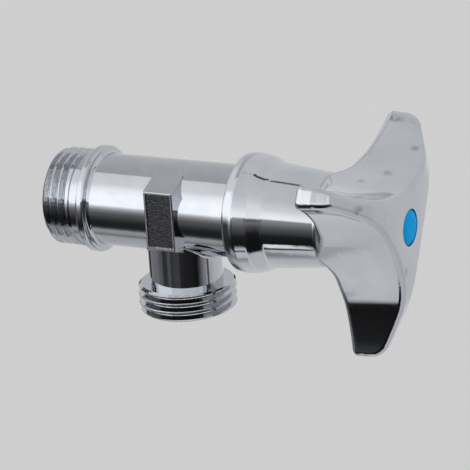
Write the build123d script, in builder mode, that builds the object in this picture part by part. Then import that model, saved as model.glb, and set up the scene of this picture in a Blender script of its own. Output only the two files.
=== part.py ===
"""Angle shut-off valve with a quarter-turn ceramic headwork and a three-arm handle.

Millimetres. The inlet's axis is X, pointing to the handle, and the outlet points down, along -Z.
The origin is on the inlet's axis, where the inlet's full thread begins.
"""

import os
from math import acos, atan2, cos, hypot, radians, sin, tan

from build123d import *

os.makedirs("parts", exist_ok=True)

# Pipe thread of both ends, G 1/2, as plain cylinders of its major diameter
thread_diameter = 20.955
thread_lead_in = 0.6
inlet_thread_length = 5.7
outlet_thread_length = 4.9

# Valve body: barrel, collar and outlet branch
inlet_bore = 13.0
band_diameter = 20.3
band_length = 2.3
collar_rise = 1.35
collar_width = 1.8
collar_rounding = 0.5
collar_foot_rounding = 0.8
barrel_diameter = 19.8
barrel_end = 43.4
barrel_end_chamfer = 0.4
outlet_position = 27.7
outlet_bore = 11.8
outlet_reach = 22.6
neck_diameter = 15.8
neck_foot_rounding = 0.8

# Spanner flats on the barrel, with a sunk panel on the front one
flat_distance = 22.0
flat_width = 6.7
flat_height = 12.7
facet_sink = 0.03
flat_rounding = 0.25
panel_border = 0.45
panel_depth = 0.35

# Waterway and seat inside the body
seat_position = 17.4
seat_bore = 9.6
seat_land = 3.4
throat_taper = 1.7
chamber_diameter = 15.2
headwork_thread_diameter = 16.66
headwork_thread_length = 8.0

# Ceramic discs and their seal
lip_seal_height = 2.6
lip_seal_outer = 13.2
lip_seal_inner = 9.8
lip_seal_rounding = 0.4
support_ring_wall = 0.6
support_ring_set_back = 0.3
disc_thickness = 2.8
disc_diameter = 13.0
port_circle = 7.6
port_width = 3.0
port_angle = 44.0
ear_width = 3.0
ear_reach = 7.3
tongue_width = 2.4
tongue_depth = 1.2

# Headwork housing
skirt_diameter = 14.9
skirt_set_back = 1.2
port_window_length = 6.6
port_window_width = 9.0
stop_rib_height = 0.6
gasket_thickness = 1.0
gasket_inset = 0.3
hexagon_across_flats = 17.0
hexagon_height = 4.7
hexagon_chamfer = 0.6
flange_height = 1.0
collar_top_height = 2.0
collar_top_diameter = 12.0

# Spindle
spindle_diameter = 9.2
waist_diameter = 6.8
foot_height = 1.6
stop_flange_height = 1.0
stop_lug_angle = 60.0
quarter_turn = 90.0
stop_margin = 3.0
slide_washer_thickness = 0.8
o_ring_section = 1.7
o_ring_spacing = 4.6
first_o_ring = 4.0
o_ring_groove_width = 2.2
circlip_thickness = 1.0
circlip_depth = 0.9
circlip_reach = 1.4
circlip_gap = 5.0
spline_diameter = 8.0
spline_depth = 0.5
spline_teeth = 20
spline_length = 10.0

# Handle: bell skirt, cone and three arms. Stations are measured from the mouth of the skirt
mouth_overlap = 0.8
bell_diameter = 25.5
mouth_tuck = 0.3
mouth_gap = 0.9
mouth_rounding = 0.8
bell_crest = 2.2
bell_crest_rounding = 5.0
bell_end = 5.6
bell_end_rounding = 3.0
bell_fall = 0.4
cone_diameter = 22.2
cone_station = 8.2
cone_foot_rounding = 3.0
cone_taper = 5.8
arm_count = 3
arm_reach = 29.4
arm_root = 21.4
arm_root_rounding = 2.0
arm_back_knee = 22.6
arm_back_knee_radius = 17.0
arm_back_rounding = 25.0
arm_back_tip = 23.4
arm_back_tip_rounding = 1.5
arm_front_tip = 29.9
arm_front_tip_rounding = 4.5
dome_knee = 36.1
dome_knee_radius = 16.3
dome_knee_rounding = 26.0
dome_height = 37.1
dome_flat_radius = 8.0
dome_rounding = 55.0
handle_turned = 1.5
hollow_radius = 43.0
hollow_rise = 0.3
arm_rounding = 1.3
skirt_wall = 1.3
skirt_depth = 13.6

# Handle screw, spring washer and index button
screw_diameter = 3.9
screw_length = 10.5
screw_head_diameter = 6.8
screw_head_height = 2.4
screw_recess_width = 0.9
screw_recess_length = 4.0
screw_recess_depth = 1.3
washer_diameter = 7.0
washer_thickness = 0.8
washer_slit = 0.6
handle_web = 2.8
counterbore_diameter = 7.2
button_diameter = 7.5
button_thickness = 1.4
button_crown = 0.3
button_stem_diameter = 6.6
button_stem_wall = 0.8
button_stem_length = 4.0

# Clearances
thread_clearance = 0.08
running_clearance = 0.05
seat_clearance = 0.1
socket_clearance = 0.1
assembly_clearance = 0.15

# Stations along the valve's axis, worked out from the sizes above
thread_radius = thread_diameter / 2
band_end = inlet_thread_length + band_length
collar_end = band_end + collar_width
collar_radius = band_diameter / 2 + collar_rise
barrel_radius = barrel_diameter / 2
chamber_radius = chamber_diameter / 2
thread_start = barrel_end - headwork_thread_length
fixed_disc_start = seat_position + lip_seal_height
moving_disc_start = fixed_disc_start + disc_thickness
moving_disc_end = moving_disc_start + disc_thickness
tongue_start = moving_disc_end - tongue_depth + seat_clearance
foot_start = moving_disc_end + seat_clearance
window_start = moving_disc_start + seat_clearance
window_end = window_start + port_window_length
stop_start = window_end + assembly_clearance
stop_end = stop_start + stop_flange_height
housing_floor = stop_end + slide_washer_thickness
hexagon_start = barrel_end + gasket_thickness
hexagon_end = hexagon_start + flange_height + hexagon_height
housing_end = hexagon_end + collar_top_height
circlip_start = housing_end + assembly_clearance
mouth_start = barrel_end - mouth_overlap
bell_radius = bell_diameter / 2
socket_mouth = mouth_start + skirt_depth
spindle_end = socket_mouth + spline_length
web_start = spindle_end + socket_clearance
counterbore_floor = web_start + handle_web
screw_head_start = counterbore_floor + washer_thickness
handle_front = mouth_start + dome_height
button_seat = handle_front - button_thickness


def spline_points(tip_radius):
    """Corners of the serrated outline shared by the spindle's head and the handle's socket."""
    step = 360 / (2 * spline_teeth)
    corners = []
    for i in range(2 * spline_teeth):
        radius = tip_radius - spline_depth * (i % 2)
        corners.append((radius * cos(radians(i * step)), radius * sin(radians(i * step))))
    return corners


def kidney_ports(first_angle):
    """Two opposite kidney-shaped openings, as seen along the valve's axis."""
    for middle in (first_angle, first_angle + 180):
        port_arc = CenterArc((0, 0), port_circle / 2, middle - port_angle / 2, port_angle, mode=Mode.PRIVATE)
        SlotArc(port_arc, port_width)


def ring_section(start, end, inner_diameter, outer_diameter):
    """Rectangle that turns about the valve's axis into a plain ring."""
    with Locations(((start + end) / 2, (inner_diameter + outer_diameter) / 4)):
        Rectangle(end - start, (outer_diameter - inner_diameter) / 2)


# Valve body
with BuildPart() as valve_body:
    with BuildSketch():
        with BuildLine():
            Polyline(
                (-thread_lead_in, 0),
                (-thread_lead_in, thread_radius - thread_lead_in),
                (0, thread_radius),
                (inlet_thread_length, thread_radius),
                (inlet_thread_length, band_diameter / 2),
                (band_end, band_diameter / 2),
                (band_end, collar_radius),
                (collar_end, collar_radius),
                (collar_end, barrel_radius),
                (barrel_end - barrel_end_chamfer, barrel_radius),
                (barrel_end, barrel_radius - barrel_end_chamfer),
                (barrel_end, 0),
                close=True,
            )
        make_face()
    revolve(axis=Axis.X)
    rims = valve_body.edges().filter_by(GeomType.CIRCLE)
    fillet(rims.filter_by(lambda rim: abs(rim.radius - collar_radius) < 0.001), collar_rounding)
    barrel_rims = valve_body.edges().filter_by(GeomType.CIRCLE)
    barrel_rims = barrel_rims.filter_by(lambda rim: abs(rim.radius - barrel_radius) < 0.001)
    fillet(barrel_rims.sort_by(Axis.X)[0], collar_foot_rounding)

    # Outlet branch: plain neck, then the thread between two lead-in chamfers
    with BuildSketch():
        with Locations((outlet_position, 0)):
            Circle(neck_diameter / 2)
    extrude(amount=-outlet_reach)
    fillet(valve_body.edges().filter_by(GeomType.BSPLINE), neck_foot_rounding)
    with BuildSketch(Plane.XY.offset(-outlet_reach)):
        with Locations((outlet_position, 0)):
            Circle(thread_radius)
    extrude(amount=outlet_thread_length + 2 * thread_lead_in)
    outlet_rims = valve_body.edges().filter_by(GeomType.CIRCLE).filter_by(Plane.XY)
    outlet_rims = outlet_rims.filter_by(lambda rim: abs(rim.radius - thread_radius) < 0.001)
    chamfer(outlet_rims, thread_lead_in)

    # Each flat's upper and lower facets run to the barrel, where they meet it almost tangent
    corner_distance = hypot(flat_distance / 2, flat_height / 2)
    tangent_angle = atan2(flat_height, flat_distance) + acos(barrel_radius / corner_distance)
    facet_y = (barrel_radius - facet_sink) * cos(tangent_angle)
    facet_z = (barrel_radius - facet_sink) * sin(tangent_angle)
    with BuildSketch(Plane.YZ.offset(outlet_position - flat_width / 2)):
        with BuildLine():
            Polyline(
                (-flat_distance / 2, -flat_height / 2),
                (-flat_distance / 2, flat_height / 2),
                (-facet_y, facet_z),
                (facet_y, facet_z),
                (flat_distance / 2, flat_height / 2),
                (flat_distance / 2, -flat_height / 2),
                (facet_y, -facet_z),
                (-facet_y, -facet_z),
                close=True,
            )
        make_face()
    extrude(amount=flat_width)
    flats = valve_body.faces().filter_by(Plane.XZ).sort_by(Axis.Y)
    fillet(flats[0].edges() + flats[-1].edges(), flat_rounding)

    with BuildSketch(Plane.XZ.offset(flat_distance / 2)):
        with Locations((outlet_position, 0)):
            Rectangle(flat_width - 2 * panel_border, flat_height - 2 * panel_border)
    extrude(amount=-panel_depth, mode=Mode.SUBTRACT)

    # Inlet bore, throat, seat, chamber and the headwork's thread
    with BuildSketch():
        with BuildLine():
            Polyline(
                (-thread_lead_in, 0),
                (-thread_lead_in, inlet_bore / 2),
                (seat_position - seat_land - throat_taper, inlet_bore / 2),
                (seat_position - seat_land, seat_bore / 2),
                (seat_position, seat_bore / 2),
                (seat_position, chamber_radius),
                (thread_start, chamber_radius),
                (thread_start, headwork_thread_diameter / 2),
                (barrel_end, headwork_thread_diameter / 2),
                (barrel_end, 0),
                close=True,
            )
        make_face()
    revolve(axis=Axis.X, mode=Mode.SUBTRACT)
    with BuildSketch(Plane.XY.offset(-outlet_reach)):
        with Locations((outlet_position, 0)):
            Circle(outlet_bore / 2)
    extrude(amount=outlet_reach, mode=Mode.SUBTRACT)
valve_body.part.label = "valve_body"
export_step(valve_body.part, "parts/valve_body.step")

# Lip seal on the body's seat
with BuildPart() as lip_seal:
    with BuildSketch():
        ring_section(seat_position, fixed_disc_start, lip_seal_inner, lip_seal_outer)
    revolve(axis=Axis.X)
    seat_rims = lip_seal.faces().sort_by(Axis.X)[0].edges()
    fillet(seat_rims, lip_seal_rounding)
lip_seal.part.label = "lip_seal"
export_step(lip_seal.part, "parts/lip_seal.step")

# Stiff ring inside the lip seal
with BuildPart() as seal_support_ring:
    support_outer = lip_seal_inner - 2 * running_clearance
    with BuildSketch():
        ring_section(
            seat_position + support_ring_set_back,
            fixed_disc_start,
            support_outer - 2 * support_ring_wall,
            support_outer,
        )
    revolve(axis=Axis.X)
seal_support_ring.part.label = "seal_support_ring"
export_step(seal_support_ring.part, "parts/seal_support_ring.step")

# Fixed ceramic disc with its two ears
with BuildPart() as fixed_disc:
    with BuildSketch(Plane.YZ.offset(fixed_disc_start)):
        Circle(disc_diameter / 2)
        Rectangle(2 * ear_reach, ear_width)
    extrude(amount=disc_thickness)
    with BuildSketch(Plane.YZ.offset(fixed_disc_start)):
        kidney_ports(90)
    extrude(amount=disc_thickness, mode=Mode.SUBTRACT)
fixed_disc.part.label = "fixed_disc"
export_step(fixed_disc.part, "parts/fixed_disc.step")

# Moving ceramic disc, a quarter turn away from the fixed one's ports when the valve is shut
with BuildPart() as moving_disc:
    with BuildSketch(Plane.YZ.offset(moving_disc_start)):
        Circle(disc_diameter / 2 - assembly_clearance)
    extrude(amount=disc_thickness)
    with BuildSketch(Plane.YZ.offset(moving_disc_start)):
        kidney_ports(0)
    extrude(amount=disc_thickness, mode=Mode.SUBTRACT)
    with BuildSketch(Plane.YZ.offset(moving_disc_end)):
        Rectangle(tongue_width, disc_diameter)
    extrude(amount=-tongue_depth, mode=Mode.SUBTRACT)
moving_disc.part.label = "moving_disc"
export_step(moving_disc.part, "parts/moving_disc.step")

# Headwork housing
skirt_bore = disc_diameter + 2 * seat_clearance
spindle_bore = spindle_diameter + 2 * running_clearance
stop_bore = skirt_bore - 2 * stop_rib_height
with BuildPart() as headwork_housing:
    housing_thread = headwork_thread_diameter / 2 - thread_clearance
    flange_radius = barrel_radius - gasket_inset
    with BuildSketch():
        with BuildLine():
            Polyline(
                (seat_position + skirt_set_back, 0),
                (seat_position + skirt_set_back, skirt_diameter / 2),
                (thread_start, skirt_diameter / 2),
                (thread_start + thread_lead_in, housing_thread),
                (hexagon_start, housing_thread),
                (hexagon_start, flange_radius),
                (hexagon_start + flange_height, flange_radius),
                (hexagon_start + flange_height, collar_top_diameter / 2),
                (housing_end, collar_top_diameter / 2),
                (housing_end, 0),
                close=True,
            )
        make_face()
    revolve(axis=Axis.X)
    with BuildSketch(Plane.YZ.offset(hexagon_start + flange_height)):
        RegularPolygon(hexagon_across_flats / 2, 6, major_radius=False)
    extrude(amount=hexagon_height)
    hexagon_top = headwork_housing.faces().filter_by(Plane.YZ).sort_by(Axis.X)[-2]
    chamfer(hexagon_top.outer_wire().edges(), hexagon_chamfer)
    with BuildSketch():
        ring_section(seat_position, housing_floor, 0, skirt_bore)
        ring_section(housing_floor, housing_end, 0, spindle_bore)
    revolve(axis=Axis.X, mode=Mode.SUBTRACT)

    # Rib that stops the spindle's lug at both ends of the quarter turn
    rib_angle = 360 - stop_lug_angle - quarter_turn - 2 * stop_margin
    rib_middle = 180 + quarter_turn / 2
    with BuildSketch(Plane.YZ.offset(stop_start)):
        with BuildLine():
            inner = CenterArc((0, 0), stop_bore / 2, rib_middle - rib_angle / 2, rib_angle)
            rib_start = rib_middle - rib_angle / 2
            outer = CenterArc((0, 0), (skirt_bore + skirt_diameter) / 4, rib_start, rib_angle)
            Line(inner @ 0, outer @ 0)
            Line(inner @ 1, outer @ 1)
        make_face()
    extrude(amount=stop_flange_height)

    # Side windows that let the water out, and slots for the fixed disc's ears
    with BuildSketch():
        with Locations(((window_start + window_end) / 2, 0)):
            Rectangle(port_window_length, port_window_width)
    extrude(amount=skirt_diameter, both=True, mode=Mode.SUBTRACT)
    with BuildSketch(Plane.XZ):
        with Locations(((seat_position + fixed_disc_start + disc_thickness) / 2, 0)):
            Rectangle(disc_thickness + lip_seal_height, ear_width + 2 * seat_clearance)
    extrude(amount=skirt_diameter, both=True, mode=Mode.SUBTRACT)
headwork_housing.part.label = "headwork_housing"
export_step(headwork_housing.part, "parts/headwork_housing.step")

# Flat gasket between the barrel's end and the housing's flange
with BuildPart() as headwork_gasket:
    with BuildSketch():
        ring_section(
            barrel_end,
            hexagon_start,
            headwork_thread_diameter + 2 * assembly_clearance,
            barrel_diameter - 2 * barrel_end_chamfer,
        )
    revolve(axis=Axis.X)
headwork_gasket.part.label = "headwork_gasket"
export_step(headwork_gasket.part, "parts/headwork_gasket.step")

# Slide washer between the spindle's stop flange and the housing
with BuildPart() as slide_washer:
    with BuildSketch():
        ring_section(
            stop_end,
            housing_floor,
            spindle_diameter + 2 * assembly_clearance,
            skirt_bore - 2 * assembly_clearance,
        )
    revolve(axis=Axis.X)
slide_washer.part.label = "slide_washer"
export_step(slide_washer.part, "parts/slide_washer.step")

# Spindle
o_ring_stations = [housing_floor + first_o_ring + i * o_ring_spacing for i in range(2)]
groove_diameter = spindle_bore - 2 * o_ring_section - 4 * running_clearance
with BuildPart() as spindle:
    foot_diameter = disc_diameter - 2 * assembly_clearance - stop_rib_height
    with BuildSketch():
        ring_section(foot_start, foot_start + foot_height, 0, foot_diameter)
        ring_section(foot_start + foot_height, stop_start, 0, waist_diameter)
        ring_section(stop_start, stop_end, 0, stop_bore - 2 * assembly_clearance)
        ring_section(stop_end, circlip_start + 2 * circlip_thickness, 0, spindle_diameter)
        spline_start = circlip_start + 2 * circlip_thickness
        ring_section(spline_start, socket_mouth, 0, spline_diameter - 2 * spline_depth)
    revolve(axis=Axis.X)
    with BuildSketch(Plane.YZ.offset(socket_mouth)):
        Polygon(*spline_points(spline_diameter / 2), align=None)
    extrude(amount=spline_length)
    with BuildSketch(Plane.YZ.offset(tongue_start)):
        Circle(foot_diameter / 2)
        Rectangle(tongue_width - 2 * seat_clearance, foot_diameter, mode=Mode.INTERSECT)
    extrude(amount=foot_start - tongue_start)

    # Lug that meets the housing's rib when the valve is shut and when it is open
    with BuildSketch(Plane.YZ.offset(stop_start)):
        lug_radius = skirt_bore / 2 - assembly_clearance
        with BuildLine():
            lug_rim = CenterArc((0, 0), lug_radius, -stop_lug_angle / 2, stop_lug_angle)
            Line((0, 0), lug_rim @ 0)
            Line((0, 0), lug_rim @ 1)
        make_face()
    extrude(amount=stop_flange_height)

    with BuildSketch():
        for station in o_ring_stations:
            ring_section(
                station - o_ring_groove_width / 2,
                station + o_ring_groove_width / 2,
                groove_diameter,
                spindle_diameter,
            )
        ring_section(
            circlip_start,
            circlip_start + circlip_thickness,
            spindle_diameter - 2 * circlip_depth,
            spindle_diameter,
        )
        ring_section(spindle_end - screw_length, spindle_end, 0, screw_diameter + 2 * running_clearance)
    revolve(axis=Axis.X, mode=Mode.SUBTRACT)
spindle.part.label = "spindle"
export_step(spindle.part, "parts/spindle.step")

# O-rings in the spindle's two grooves
for name, station in zip(("inner", "outer"), o_ring_stations):
    with BuildPart() as o_ring:
        with BuildSketch():
            with Locations((station, groove_diameter / 2 + running_clearance + o_ring_section / 2)):
                Circle(o_ring_section / 2)
        revolve(axis=Axis.X)
    o_ring.part.label = "spindle_o_ring_" + name
    export_step(o_ring.part, "parts/spindle_o_ring_" + name + ".step")

# Open clip that keeps the spindle from being pushed into the body
with BuildPart() as circlip:
    clip_inner = spindle_diameter / 2 - circlip_depth + running_clearance
    with BuildSketch(Plane.YZ.offset(circlip_start + running_clearance)):
        Circle(spindle_diameter / 2 + circlip_reach)
        Circle(clip_inner, mode=Mode.SUBTRACT)
        with Locations((0, spindle_diameter)):
            Rectangle(circlip_gap, 2 * spindle_diameter, mode=Mode.SUBTRACT)
    extrude(amount=circlip_thickness - 2 * running_clearance)
circlip.part.label = "circlip"
export_step(circlip.part, "parts/circlip.step")

# Handle: one casting, turned from a profile, with three hollows that leave its arms
cone_start = mouth_start + cone_station
cone_end = mouth_start + arm_root
cone_slope = tan(radians(cone_taper))


def cone_radius(station):
    """Radius of the cone, also past its end, where it gives the bottoms of the hollows."""
    return cone_diameter / 2 - (station - cone_start) * cone_slope


with BuildPart() as handle:
    with BuildSketch():
        with BuildLine():
            FilletPolyline(
                (mouth_start, barrel_radius),
                (mouth_start, bell_radius - mouth_tuck),
                (mouth_start + bell_crest, bell_radius),
                (mouth_start + bell_end, bell_radius - bell_fall),
                (cone_start, cone_diameter / 2),
                (cone_end, cone_radius(cone_end)),
                (mouth_start + arm_back_knee, arm_back_knee_radius),
                (mouth_start + arm_back_tip, arm_reach),
                (mouth_start + arm_front_tip, arm_reach),
                (mouth_start + dome_knee, dome_knee_radius),
                (handle_front, dome_flat_radius),
                (handle_front, 0),
                radius=[
                    mouth_rounding,
                    bell_crest_rounding,
                    bell_end_rounding,
                    cone_foot_rounding,
                    arm_root_rounding,
                    arm_back_rounding,
                    arm_back_tip_rounding,
                    arm_front_tip_rounding,
                    dome_knee_rounding,
                    dome_rounding,
                ],
            )
            Line((handle_front, 0), (mouth_start, 0))
            Line((mouth_start, 0), (mouth_start, barrel_radius))
        make_face()
    revolve(axis=Axis.X)

    # Each hollow is round, and its bottom lies just proud of the cone
    for i in range(arm_count):
        turn = radians(handle_turned + (i + 0.5) * 360 / arm_count)
        outward = Vector(0, sin(turn), -cos(turn))
        along = Vector(1, 0, 0) - outward * cone_slope
        bottom = Vector(cone_end, 0, 0) + outward * (cone_radius(cone_end) + hollow_rise + hollow_radius)
        with BuildSketch(Plane(origin=bottom - along * arm_root_rounding, z_dir=along)):
            Circle(hollow_radius)
        extrude(amount=dome_height, mode=Mode.SUBTRACT)
    hollows = handle.faces().filter_by(GeomType.CYLINDER).sort_by(SortBy.AREA)[-arm_count:]
    fillet(hollows.edges(), arm_rounding)

    # Inside: bell and cone as a thin wall, then the splined socket, the screw's hole and the button's seat
    inner_mouth = barrel_radius + mouth_gap
    inner_bell = bell_radius - skirt_wall
    with BuildSketch():
        with BuildLine():
            Polyline(
                (mouth_start, 0),
                (mouth_start, inner_mouth),
                (mouth_start + bell_crest, inner_bell),
                (mouth_start + bell_end - skirt_wall, bell_radius - bell_fall - skirt_wall),
                (cone_start, cone_diameter / 2 - skirt_wall),
                (socket_mouth, cone_radius(socket_mouth) - skirt_wall),
                (socket_mouth, 0),
                close=True,
            )
        make_face()
    revolve(axis=Axis.X, mode=Mode.SUBTRACT)
    with BuildSketch(Plane.YZ.offset(socket_mouth)):
        Polygon(*spline_points(spline_diameter / 2 + socket_clearance), align=None)
    extrude(amount=spline_length + socket_clearance, mode=Mode.SUBTRACT)
    with BuildSketch():
        ring_section(web_start, counterbore_floor, 0, screw_diameter + 2 * assembly_clearance)
        ring_section(counterbore_floor, button_seat, 0, counterbore_diameter)
        ring_section(button_seat, handle_front, 0, button_diameter + 2 * assembly_clearance)
    revolve(axis=Axis.X, mode=Mode.SUBTRACT)
handle.part.label = "handle"
export_step(handle.part, "parts/handle.step")

# Split spring washer under the screw's head
with BuildPart() as screw_spring_washer:
    with BuildSketch(Plane.YZ.offset(counterbore_floor)):
        Circle(washer_diameter / 2)
        Circle(screw_diameter / 2 + assembly_clearance, mode=Mode.SUBTRACT)
        with Locations((0, washer_diameter / 2)):
            Rectangle(washer_slit, washer_diameter, mode=Mode.SUBTRACT)
    extrude(amount=washer_thickness)
screw_spring_washer.part.label = "screw_spring_washer"
export_step(screw_spring_washer.part, "parts/screw_spring_washer.step")

# Cross-recessed screw that holds the handle on the spindle
with BuildPart() as handle_screw:
    with BuildSketch():
        ring_section(screw_head_start, screw_head_start + screw_head_height, 0, screw_head_diameter)
        ring_section(spindle_end - screw_length + socket_clearance, screw_head_start, 0, screw_diameter)
    revolve(axis=Axis.X)
    fillet(handle_screw.faces().sort_by(Axis.X)[-1].edges(), screw_head_height / 3)
    with BuildSketch(Plane.YZ.offset(screw_head_start + screw_head_height)):
        Rectangle(screw_recess_length, screw_recess_width)
        Rectangle(screw_recess_width, screw_recess_length)
    extrude(amount=-screw_recess_depth, mode=Mode.SUBTRACT)
handle_screw.part.label = "handle_screw"
export_step(handle_screw.part, "parts/handle_screw.step")

# Blue index button that closes the counterbore
with BuildPart() as index_button:
    with BuildSketch():
        with BuildLine():
            Line((button_seat, 0), (button_seat, button_diameter / 2))
            Line((button_seat, button_diameter / 2), (handle_front - button_crown, button_diameter / 2))
            Spline(
                (handle_front - button_crown, button_diameter / 2),
                (handle_front + button_crown, 0),
                tangents=((1, -1), (0, -1)),
            )
            Line((handle_front + button_crown, 0), (button_seat, 0))
        make_face()
    revolve(axis=Axis.X)
    with BuildSketch():
        ring_section(
            button_seat - button_stem_length,
            button_seat,
            button_stem_diameter - 2 * button_stem_wall,
            button_stem_diameter,
        )
    revolve(axis=Axis.X)
index_button.part.label = "index_button"
export_step(index_button.part, "parts/index_button.step")
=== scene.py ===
from math import cos, pi, radians, sin, tau

import bmesh
import bpy
from mathutils import Matrix, Vector
from mathutils.kdtree import KDTree


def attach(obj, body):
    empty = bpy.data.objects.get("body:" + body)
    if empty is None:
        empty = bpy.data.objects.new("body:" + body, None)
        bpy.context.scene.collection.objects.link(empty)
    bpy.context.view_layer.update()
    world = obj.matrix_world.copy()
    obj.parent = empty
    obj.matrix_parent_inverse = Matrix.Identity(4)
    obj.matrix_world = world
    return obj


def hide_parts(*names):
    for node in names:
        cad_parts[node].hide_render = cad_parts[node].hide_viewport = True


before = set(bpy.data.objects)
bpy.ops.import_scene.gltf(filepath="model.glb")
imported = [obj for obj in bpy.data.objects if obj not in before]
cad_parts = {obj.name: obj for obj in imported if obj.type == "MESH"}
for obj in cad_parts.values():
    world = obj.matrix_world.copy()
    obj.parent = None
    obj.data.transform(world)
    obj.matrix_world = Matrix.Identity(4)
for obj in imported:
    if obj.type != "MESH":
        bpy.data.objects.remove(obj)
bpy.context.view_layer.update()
scene = bpy.context.scene
MM = 0.001


# The studio: a pale sheet well below the valve, which is held by its inlet thread as on a wall pipe.
# A long white softbox hangs over the near side, with black cards under it, and grey cards close the rest.
def linear(code):
    """The linear colour of an sRGB hex value."""
    parts = [int(code[i:i + 2], 16) / 255 for i in (1, 3, 5)]
    return [c / 12.92 if c <= 0.04045 else ((c + 0.055) / 1.055) ** 2.4 for c in parts] + [1.0]


def add(tree, kind, sockets=None, **settings):
    """Adds one node: its settings, and each input's value or the output that it is linked to."""
    node = tree.nodes.new(kind)
    for name, value in settings.items():
        setattr(node, name, value)
    for name, value in (sockets or {}).items():
        if isinstance(value, bpy.types.NodeSocket):
            tree.links.new(value, node.inputs[name])
        else:
            node.inputs[name].default_value = value
    return node


def new_tree(owner):
    """Gives a world or a material an empty node tree."""
    owner.use_nodes = True
    owner.node_tree.nodes.clear()
    return owner.node_tree


# Each row of cards runs round the valve's axis, from overhead (0) towards the near side: angle and light.
# The rows follow one another from the inlet's side to the handle's. Each end is given by the direction's
# x, from where the row starts to fade to where the next one takes over.
rows = [
    # Far left: the neck's left side and the rims mirror it
    [(-180, 0.20), (-150, 0.25), (-141, 0.30), (-130, 0.03), (-112, 0.03), (-103, 0.14), (-94, 0.30),
     (-86, 0.74), (-34, 0.76), (-20, 0.94), (28, 1.00), (35, 1.50), (80, 1.56), (87, 0.95), (92, 0.36),
     (100, 0.16), (125, 0.13), (140, 0.20), (160, 0.22)],
    # Left: the bell's end and the neck
    [(-180, 0.36), (-150, 0.36), (-95, 0.14), (-86, 0.74), (-34, 0.76), (-20, 0.94), (28, 1.00), (35, 1.50),
     (80, 1.56), (87, 0.95), (92, 0.36), (100, 0.06), (135, 0.03), (158, 0.04), (168, 0.14), (174, 0.30)],
    # The barrel and the inlet
    [(-180, 0.53), (-140, 0.58), (-109, 0.68), (-60, 0.60), (-22, 0.55), (3, 0.52), (5, 0.93), (33, 1.00),
     (40, 1.18), (47, 1.36), (62, 1.54), (86, 1.56), (92, 0.72), (99, 0.31), (107, 0.14), (114, 0.10),
     (123, 0.045), (131, 0.022), (143, 0.025), (148, 0.09), (154, 0.42), (161, 0.42), (170, 0.23),
     (175, 0.48)],
    # Between the barrel's row and the bell's
    [(-180, 0.64), (-172, 0.70), (-109, 0.74), (-2, 0.74), (40, 0.78), (60, 1.05), (72, 1.30), (82, 1.40),
     (85, 0.35), (92, 0.20), (98, 0.08), (112, 0.05), (118, 0.02), (142, 0.01), (151, 0.01), (153, 0.29),
     (170, 0.34), (176, 0.52)],
    # The bell, left of the white slot
    [(-180, 0.76), (-109, 0.74), (-2, 0.74), (40, 0.80), (60, 1.00), (72, 1.30), (80, 1.40), (82, 0.28),
     (90, 0.22), (100, 0.11), (111, 0.06), (117, 0.03), (150, 0.01), (153, 0.76)],
    # The bell: a thin dark card overhead, and a white slot low on the near side
    [(-180, 0.76), (-109, 0.74), (-8, 0.74), (-6.5, 0.04), (-3.5, 0.04), (-2, 0.74), (40, 0.80), (60, 1.00),
     (72, 1.30), (80, 1.40), (82, 0.28), (90, 0.22), (100, 0.10), (112, 0.03), (136.5, 0.01), (138, 1.25),
     (146, 1.25), (147, 0.01), (150, 0.01), (152, 0.76)],
    # The bell, right of the slot
    [(-180, 0.76), (-109, 0.74), (-2, 0.74), (40, 0.80), (60, 1.00), (72, 1.30), (80, 1.40), (82, 0.28),
     (90, 0.22), (100, 0.10), (112, 0.02), (144.5, 0.01), (147, 0.76)],
    # The bell's waist, the hollows between the arms and the lower arm
    [(-180, 0.76), (-109, 0.74), (-2, 0.74), (40, 0.80), (60, 1.00), (72, 1.30), (80, 1.40), (83, 0.40),
     (90, 0.28), (100, 0.13), (111, 0.06), (117, 0.02), (139.5, 0.01), (141, 0.76)],
    # Middle, with the thin dark card overhead
    [(-180, 0.68), (-109, 0.74), (-8, 0.74), (-6.5, 0.04), (-3.5, 0.04), (-2, 0.74), (40, 0.80), (60, 1.00),
     (72, 1.30), (80, 1.40), (82, 0.28), (90, 0.22), (100, 0.11), (111, 0.06), (117, 0.02), (148, 0.01),
     (157, 0.66)],
    # Right, with the same card: the dome, the collar and the neck
    [(-180, 0.66), (-140, 0.60), (-109, 0.70), (-8, 0.72), (-6.5, 0.04), (-3.5, 0.04), (-2, 0.72),
     (28, 0.78), (43, 0.88), (57, 1.08), (77, 1.25), (81, 1.25), (84, 0.15), (91, 0.24), (97, 0.12),
     (111, 0.02), (124, 0.01), (152, 0.01), (157, 0.68)],
    # Far right: the neck's right side and the front arm's tip
    [(-180, 0.50), (-130, 0.55), (-110, 0.60), (-80, 0.70), (-50, 0.68), (30, 0.66), (42, 1.15), (76, 1.20),
     (86, 0.35), (95, 0.08), (125, 0.05), (140, 0.14), (160, 0.30)],
]
row_ends = [
    (-0.78, -0.70), (-0.56, -0.49), (-0.39, -0.35), (-0.277, -0.269), (-0.263, -0.259),
    (-0.2475, -0.2435), (-0.240, -0.237), (-0.12, -0.08), (0.08, 0.12), (0.80, 0.90),
]
brightest = 2.0
backdrop_grey = linear("#CCCCCC")
world = bpy.data.worlds.new("studio")
scene.world = world
tree = new_tree(world)
towards = add(tree, "ShaderNodeTexCoord")
parts = add(tree, "ShaderNodeSeparateXYZ", {"Vector": towards.outputs["Generated"]})
near_side = add(tree, "ShaderNodeMath", {0: parts.outputs["Y"], 1: -1.0}, operation="MULTIPLY")
round_axis = add(tree, "ShaderNodeMath", {0: near_side.outputs[0], 1: parts.outputs["Z"]},
                 operation="ARCTAN2")
turn = add(tree, "ShaderNodeMath", {0: round_axis.outputs[0], 1: 1 / tau, 2: 0.5},
           operation="MULTIPLY_ADD")
cards = None
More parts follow.
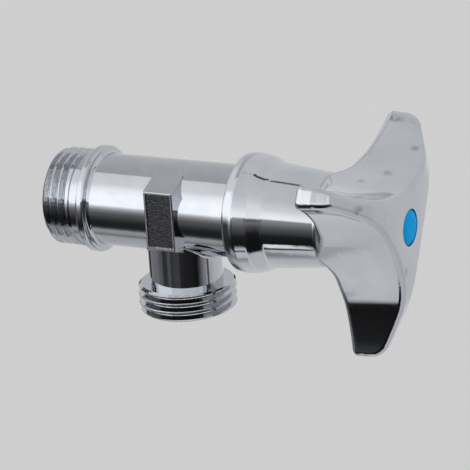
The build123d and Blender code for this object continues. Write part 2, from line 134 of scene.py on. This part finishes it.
for i, row in enumerate(rows):
    ramp = add(tree, "ShaderNodeValToRGB", {"Fac": turn.outputs[0]})
    stops = ramp.color_ramp.elements
    while len(stops) < len(row):
        stops.new(0.999)
    for stop, (angle, light) in zip(stops, row):
        stop.position = angle / 360 + 0.5
        stop.color = (light / brightest,) * 3 + (1.0,)
    if cards is None:
        cards = ramp.outputs["Color"]
        continue
    fades, over = row_ends[i - 1]
    across = add(tree, "ShaderNodeMapRange", {
        "Value": parts.outputs["X"], "From Min": fades, "From Max": over}, interpolation_type="SMOOTHSTEP")
    joined = add(tree, "ShaderNodeMix", {
        "Factor": across.outputs["Result"], 6: cards, 7: ramp.outputs["Color"]}, data_type="RGBA")
    cards = joined.outputs[2]
studio = add(tree, "ShaderNodeBackground", {"Color": cards, "Strength": brightest})
plain = add(tree, "ShaderNodeBackground", {"Color": backdrop_grey, "Strength": 1.0})
ray = add(tree, "ShaderNodeLightPath")
seen = add(tree, "ShaderNodeMixShader", {0: ray.outputs["Is Camera Ray"], 1: studio.outputs[0],
                                         2: plain.outputs[0]})
add(tree, "ShaderNodeOutputWorld", {"Surface": seen.outputs[0]})

sheet_drop = 150 * MM
sheet_front = -86 * MM
sheet_back = 2000 * MM
sheet_middle = 40 * MM
sheet_half_width = 1200 * MM
pale_sheet = bpy.data.materials.new("pale_studio_sheet")
tree = new_tree(pale_sheet)
matt = add(tree, "ShaderNodeBsdfDiffuse", {"Color": linear("#E1E1E1")})
add(tree, "ShaderNodeOutputMaterial", {"Surface": matt.outputs[0]})
bm = bmesh.new()
bmesh.ops.create_grid(bm, x_segments=1, y_segments=1, size=1.0)
bmesh.ops.scale(bm, verts=bm.verts, vec=(sheet_half_width, (sheet_back - sheet_front) / 2, 1))
bmesh.ops.translate(bm, verts=bm.verts, vec=(sheet_middle, (sheet_back + sheet_front) / 2, -sheet_drop))
mesh = bpy.data.meshes.new("floor_sheet")
bm.to_mesh(mesh)
bm.free()
floor_sheet = bpy.data.objects.new("floor_sheet", mesh)
floor_sheet.data.materials.append(pale_sheet)
floor_sheet.visible_glossy = False
scene.collection.objects.link(floor_sheet)

scene.view_settings.view_transform = "Standard"

# The camera stands where the photograph was taken from, in front of the valve, above it and to its right.
# It is a long lens, turned a little about its own axis, and it looks at the middle of the valve's length.
camera_azimuth = radians(26.50)
camera_elevation = radians(19.13)
camera_roll = radians(3.57)
camera_distance = 600 * MM
camera_target = Vector((39.73, 0, -5.43)) * MM
sensor_width = 36.0
focal_pixels = 2850.11
picture_pixels = 470
back = Vector((sin(camera_azimuth) * cos(camera_elevation),
               -cos(camera_azimuth) * cos(camera_elevation), sin(camera_elevation)))
level = Vector((cos(camera_azimuth), sin(camera_azimuth), 0))
upright = back.cross(level)
right = level * cos(camera_roll) - upright * sin(camera_roll)
up = upright * cos(camera_roll) + level * sin(camera_roll)
camera_data = bpy.data.cameras.new("camera")
camera_data.sensor_width = sensor_width
camera_data.lens = focal_pixels * sensor_width / picture_pixels
camera_data.clip_start = 10 * MM
camera = bpy.data.objects.new("camera", camera_data)
camera.matrix_world = Matrix((
    (right.x, up.x, back.x, 0), (right.y, up.y, back.y, 0), (right.z, up.z, back.z, 0), (0, 0, 0, 1)))
camera.location = camera_target + back * camera_distance
scene.collection.objects.link(camera)
scene.camera = camera


# The body is a brass forging, machined, polished and plated with chromium over nickel.
# Its two G1/2 threads are cut into plain ends, so each thread's groove is cut from the solid here too.
def merged_copy(node):
    """A CAD node's mesh with its loose triangles joined."""
    bm = bmesh.new()
    bm.from_mesh(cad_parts[node].data)
    bmesh.ops.remove_doubles(bm, verts=bm.verts, dist=0.001 * MM)
    return bm


def piece(name, bm, material, sharp_angle):
    """Makes an object of a mesh, smooth but for the edges that turn by more than the sharp angle."""
    for face in bm.faces:
        face.smooth = True
    for edge in bm.edges:
        edge.smooth = edge.is_manifold and edge.calc_face_angle(0) < sharp_angle
    mesh = bpy.data.meshes.new(name)
    bm.to_mesh(mesh)
    bm.free()
    obj = bpy.data.objects.new(name, mesh)
    mesh.materials.append(material)
    scene.collection.objects.link(obj)
    return obj


def finish(name, pale, deep, grain, smooth, rough, relief, metallic=0.0, specular=0.5, dull_marks=None):
    """A material with one grain: its noise moves the colour from pale to deep, the gloss and the height.

    Dull marks, if given, are the radius and the depth of small dull ragged sunk spots, and the places where
    they are.
    """
    noise_low, noise_high = 0.3, 0.7
    material = bpy.data.materials.new(name)
    tree = new_tree(material)
    place = add(tree, "ShaderNodeTexCoord")
    noise = add(tree, "ShaderNodeTexNoise", {"Vector": place.outputs["Object"], "Scale": 1 / grain,
                                             "Detail": 3.0})
    spread = add(tree, "ShaderNodeMapRange", {
        "Value": noise.outputs["Fac"], "From Min": noise_low, "From Max": noise_high})
    colour = add(tree, "ShaderNodeMix", {
        "Factor": spread.outputs["Result"], 6: linear(pale), 7: linear(deep)}, data_type="RGBA")
    gloss = add(tree, "ShaderNodeMapRange", {
        "Value": spread.outputs["Result"], "To Min": smooth, "To Max": rough})
    tint = colour.outputs[2]
    height = add(tree, "ShaderNodeBump", {
        "Height": noise.outputs["Fac"], "Distance": relief, "Strength": 1.0})
    if dull_marks:
        radius, depth, spots = dull_marks
        dull_grey = linear("#A6A8AD")
        ragged = add(tree, "ShaderNodeTexNoise", {"Vector": place.outputs["Object"], "Scale": 1 / radius})
        far_off = 1.0
        nearest = far_off
        for spot in spots:
            away = add(tree, "ShaderNodeVectorMath", {0: place.outputs["Object"], 1: spot},
                       operation="DISTANCE")
            nearer = add(tree, "ShaderNodeMath", {0: away.outputs["Value"], 1: nearest},
                         operation="MINIMUM")
            nearest = nearer.outputs[0]
        edge = add(tree, "ShaderNodeMath", {0: ragged.outputs["Fac"], 1: -2 * radius, 2: nearest},
                   operation="MULTIPLY_ADD")
        bowl = add(tree, "ShaderNodeMapRange", {
            "Value": edge.outputs[0], "From Min": -radius, "From Max": 0.0},
            interpolation_type="SMOOTHSTEP")
        height = add(tree, "ShaderNodeBump", {
            "Height": bowl.outputs["Result"], "Distance": depth, "Strength": 1.0,
            "Normal": height.outputs["Normal"]})
        dulled = add(tree, "ShaderNodeMix", {
            "Factor": bowl.outputs["Result"], 6: dull_grey, 7: tint}, data_type="RGBA")
        tint = dulled.outputs[2]
    shader = add(tree, "ShaderNodeBsdfPrincipled", {
        "Base Color": tint, "Metallic": metallic, "Roughness": gloss.outputs["Result"],
        "Specular IOR Level": specular, "Normal": height.outputs["Normal"]})
    add(tree, "ShaderNodeOutputMaterial", {"Surface": shader.outputs[0]})
    return material


thread_pitch = 1.814 * MM
thread_major = 10.4775 * MM
thread_minor = 9.3155 * MM
thread_steps = 72


def thread_groove(name, start, turns, turned):
    """A cutter that winds a round-bottomed 55 degree groove about X from start, turned into place."""
    half = thread_pitch / 2
    depth = thread_major - thread_minor
    clear_of_crest = 0.5 * MM
    mouth, mouth_drop = 0.93 * half, 0.02 * MM
    shoulder, shoulder_drop = 0.80 * half, 0.10 * MM
    root_edge, root_edge_rise = 0.24 * half, 0.16 * MM
    root_middle, root_middle_rise = 0.12 * half, 0.03 * MM
    flank = [
        (mouth, depth + clear_of_crest), (mouth, depth - mouth_drop), (shoulder, depth - shoulder_drop),
        (root_edge, root_edge_rise), (root_middle, root_middle_rise),
    ]
    outline = [(-x, rise) for x, rise in flank] + [(0, 0)] + flank[::-1]
    bm = bmesh.new()
    ring = [bm.verts.new((start + x, 0, thread_minor + rise)) for x, rise in outline]
    first = bm.faces.new(ring)
    steps = round(turns * thread_steps)
    edges = list(first.edges)
    swept = bmesh.ops.spin(bm, geom=ring + edges, axis=(1, 0, 0), cent=(0, 0, 0), angle=turns * tau,
                           dvec=(thread_pitch / thread_steps, 0, 0), steps=steps)
    last = [g for g in swept["geom_last"] if isinstance(g, bmesh.types.BMEdge)]
    bmesh.ops.contextual_create(bm, geom=last)
    bmesh.ops.recalc_face_normals(bm, faces=bm.faces)
    bmesh.ops.transform(bm, matrix=turned, verts=bm.verts)
    mesh = bpy.data.meshes.new(name)
    bm.to_mesh(mesh)
    bm.free()
    cutter = bpy.data.objects.new(name, mesh)
    scene.collection.objects.link(cutter)
    return cutter


# Bright chromium: a mirror with the faint ripple of hand polishing
chrome = finish("chromium_plated_brass", "#CBCED4", "#C2C6CD", 4 * MM, 0.02, 0.06, 0.025 * MM,
                metallic=1.0)
# In the thread's grooves the plating is thin and unpolished, so they mirror less and look a little darker
thread_plate = finish("thin_chromium_in_thread", "#C8CBD0", "#ADB0B6", 0.6 * MM, 0.05, 0.14, 0.005 * MM,
                      metallic=1.0)
# Bare brass, warm yellow and a little dull, where the plating doesn't reach
bare_brass = finish("bare_turned_brass", "#C9A45C", "#A87F3C", 1.2 * MM, 0.22, 0.40, 0.004 * MM,
                    metallic=1.0)
# The panel's floor is left as struck: the same plating over a coarse peened grain, with painted shade in
# its deep grey that keeps it dark
peened_panel_painted_shade = finish("chromium_plated_peened_panel_painted_shade", "#C2C3C7", "#5A5A5E", 0.30 * MM, 0.16, 0.34, 0.05 * MM,
                metallic=1.0)
# The panel's border is only satin smooth, so it gathers light from all round, and its paler tint is a
# painted highlight that shows it as a pale frame
satin_border_painted_highlight = finish("satin_chromium_border_painted_highlight", "#D4D6DA", "#C6C9CE", 0.8 * MM, 0.40, 0.52, 0.004 * MM,
               metallic=1.0)

crisp_turn = radians(32)
inlet_groove_start = -1.6 * MM
inlet_groove_turns = 4.1
outlet_axis = 27.7 * MM
outlet_end = -22.6 * MM
outlet_groove_start = -1.0 * MM
outlet_groove_turns = 3.6
bm = merged_copy("valve_body")
body = piece("plated_body", bm, chrome, crisp_turn)
inlet_groove = thread_groove("inlet_groove", inlet_groove_start, inlet_groove_turns, Matrix.Identity(4))
down_axis = Matrix.Translation((outlet_axis, 0, outlet_end)) @ Matrix.Rotation(-pi / 2, 4, "Y")
outlet_groove = thread_groove("outlet_groove", outlet_groove_start, outlet_groove_turns, down_axis)
for cutter in (inlet_groove, outlet_groove):
    cut = body.modifiers.new(cutter.name, "BOOLEAN")
    cut.operation = "DIFFERENCE"
    cut.solver = "EXACT"
    cut.object = cutter
bpy.context.view_layer.update()
threaded = bpy.data.meshes.new_from_object(body.evaluated_get(bpy.context.evaluated_depsgraph_get()))
body.modifiers.clear()
body.data = threaded
bm = bmesh.new()
bm.from_mesh(threaded)
for edge in bm.edges:
    edge.smooth = edge.is_manifold and edge.calc_face_angle(0) < crisp_turn
bm.to_mesh(threaded)
bm.free()
for cutter in (inlet_groove, outlet_groove):
    bpy.data.objects.remove(cutter)

# Away from the threads each corner keeps the true slope of the turned and polished solid
inlet_thread_end = 6.9 * MM
outlet_thread_end = -16.0 * MM
same_spot = 0.002 * MM
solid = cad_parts["valve_body"].data
corners = KDTree(len(solid.loops))
for loop in solid.loops:
    corners.insert(solid.vertices[loop.vertex_index].co, loop.index)
corners.balance()
slopes = []
for face in threaded.polygons:
    for i in face.loop_indices:
        spot = threaded.vertices[threaded.loops[i].vertex_index].co
        found = []
        if spot.x > inlet_thread_end and spot.z > outlet_thread_end:
            meeting = corners.find_range(spot, same_spot)
            found = [solid.corner_normals[near].vector for _, near, _ in meeting]
        own = threaded.corner_normals[i].vector
        slopes.append(max(found, key=face.normal.dot).copy() if found else own.copy())
threaded.normals_split_custom_set(slopes)

# The plating is thin in the threads' grooves and stops short inside the bores, and the flat towards the
# viewer has a sunk panel with a narrow border. The panel's floor is painted dark as shade, and its border
# paler as a painted highlight.
panel_floor = -10.65 * MM
panel_half_width = 2.9 * MM
flat_face = -11.0 * MM
flat_half_width = 3.35 * MM
crest_depth = 0.2 * MM
crest = thread_major - crest_depth
band_start = 5.75 * MM
barrel_bore = 9.3 * MM
outlet_bore = 7.6 * MM
on_plane = 0.02 * MM
facing_front = -0.99
facing_end = 0.95
facing_out = 0.1
facing_in = -0.3
painted_shade_panel_zone, groove_zone, brass_zone, painted_highlight_border_zone = 1, 2, 3, 4
for material in (peened_panel_painted_shade, thread_plate, bare_brass, satin_border_painted_highlight):
    threaded.materials.append(material)
for face in threaded.polygons:
    spot = face.center
    from_axis = Vector((0, spot.y, spot.z))
    from_outlet = Vector((spot.x - outlet_axis, spot.y, 0))
    on_branch = spot.z < outlet_thread_end
    out = from_outlet if on_branch else from_axis
    outward = face.normal.dot(out.normalized())
    end_on = abs(face.normal.z if on_branch else face.normal.x) > facing_end
    front_on = face.normal.y < facing_front
    off_middle = abs(from_outlet.x)
    # The sunk panel's floor: its material darkens it with painted shade
    if front_on and abs(spot.y - panel_floor) < on_plane and off_middle < panel_half_width:
        face.material_index = painted_shade_panel_zone
    # The panel's border: its material lightens it with a painted highlight
    elif front_on and abs(spot.y - flat_face) < on_plane and off_middle < flat_half_width:
        face.material_index = painted_highlight_border_zone
    elif (on_branch or spot.x < band_start) and outward > facing_out and not end_on and out.length < crest:
        face.material_index = groove_zone
    elif outward < facing_in and from_axis.length < barrel_bore:
        face.material_index = brass_zone
    elif face.normal.dot(from_outlet.normalized()) < facing_in and from_outlet.length < outlet_bore:
        face.material_index = brass_zone
    elif end_on and spot.x > 0 and from_axis.length < barrel_bore and not on_branch:
        face.material_index = brass_zone
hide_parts("valve_body")
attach(body, "valve")


# The headwork housing is turned from brass rod and screws into the body's bore. It isn't plated, so it
# shows warm yellow metal behind the handle's mouth, with the dull bloom of bare brass.
def dress(node, material):
    """Shows a CAD node in one material."""
    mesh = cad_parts[node].data
    mesh.materials.clear()
    mesh.materials.append(material)


dress("headwork_housing", bare_brass)

# The headwork gasket is a flat fibre ring that seals the housing's flange against the body.
# Its pressed fibres show as a mottle of two browns.
fibre = finish("pressed_fibre", "#8A5A3C", "#6B4029", 0.4 * MM, 0.75, 0.90, 0.03 * MM, specular=0.2)
dress("headwork_gasket", fibre)

# The lip seal is moulded in black nitrile rubber and presses on the fixed disc from the inlet's side.
# Like the O-rings it has the greyish bloom of moulded rubber.
rubber = finish("moulded_nitrile_rubber", "#232325", "#151516", 0.8 * MM, 0.45, 0.65, 0.006 * MM,
                specular=0.35)
dress("lip_seal", rubber)

# The support ring is a white acetal moulding that keeps the lip seal from folding into the bore.
# Its face is silky, with slight flow marks.
acetal = finish("moulded_white_acetal", "#ECEBE6", "#DEDCD5", 2.0 * MM, 0.35, 0.50, 0.004 * MM)
dress("seal_support_ring", acetal)

# The two discs are fired alumina, lapped flat so that they seal on each other without a gasket.
# The lapped faces are smooth and off-white, with a fine speckle.
alumina = finish("lapped_alumina", "#F1EFE9", "#E2DFD6", 0.25 * MM, 0.12, 0.26, 0.001 * MM)
dress("fixed_disc", alumina)
dress("moving_disc", alumina)

# The slide washer is a thin acetal ring, stamped flat, between the spindle's shoulder and the housing.
# It lies loose on the spindle and lets it turn without rubbing brass on brass.
dress("slide_washer", acetal)

# The spindle is turned from brass rod, with a splined end for the handle and a driver for the moving disc.
# Its sliding faces are burnished a little brighter than the housing.
burnished_brass = finish("burnished_brass", "#D3B06A", "#B98F49", 1.0 * MM, 0.14, 0.26, 0.002 * MM,
                         metallic=1.0)
dress("spindle", burnished_brass)

# Two O-rings, moulded in the lip seal's nitrile rubber, seal the spindle in the housing.
# They are greased and sprung into its two grooves.
dress("spindle_o_ring_inner", rubber)
dress("spindle_o_ring_outer", rubber)

# The circlip is stamped from spring steel and snaps into the spindle's last groove to hold it in.
# Its heat treatment leaves a grey-blue skin with a dull shine.
spring_steel = finish("blued_spring_steel", "#6D7077", "#4A4C53", 0.9 * MM, 0.28, 0.42, 0.003 * MM,
                      metallic=1.0)
dress("circlip", spring_steel)

# The handle is one zinc casting, polished and chromium plated, with three arms on a flared bell.
# Its polish is softer than the body's, with a few small ragged spots that are sunk a little and greyed.
dull_spot_radius = 1.3 * MM
dull_spot_depth = 0.06 * MM
dull_spots = [Vector(spot) * MM for spot in (
    (75, 15, 12), (73, 5, 9.5), (69.5, -0.5, 9.5), (77, -5, 8.5), (76.5, -18.5, 9.5), (79.5, -3, -8.5))]
plated_zinc = finish("chromium_plated_zinc", "#CBCED4", "#C2C6CD", 9 * MM, 0.025, 0.07, 0.02 * MM,
                     metallic=1.0, dull_marks=(dull_spot_radius, dull_spot_depth, dull_spots))
dress("handle", plated_zinc)

# The screw is zinc-plated steel; it draws the handle onto the splines from the front, over a spring washer.
# Both have the pale, slightly frosted look of passivated zinc.
zinc_plate = finish("zinc_plated_steel", "#C3C5C4", "#A4A8AB", 0.7 * MM, 0.28, 0.45, 0.003 * MM,
                    metallic=1.0)
dress("handle_screw", zinc_plate)
dress("screw_spring_washer", zinc_plate)

# The index button is moulded in blue acetal and snaps into the front of the handle over the screw.
# Its colour is even, with a soft sheen from a fine mould texture.
blue = finish("moulded_blue_acetal", "#00B1FC", "#00AAF4", 0.6 * MM, 0.30, 0.40, 0.001 * MM,
              specular=0.02)
dress("index_button", blue)
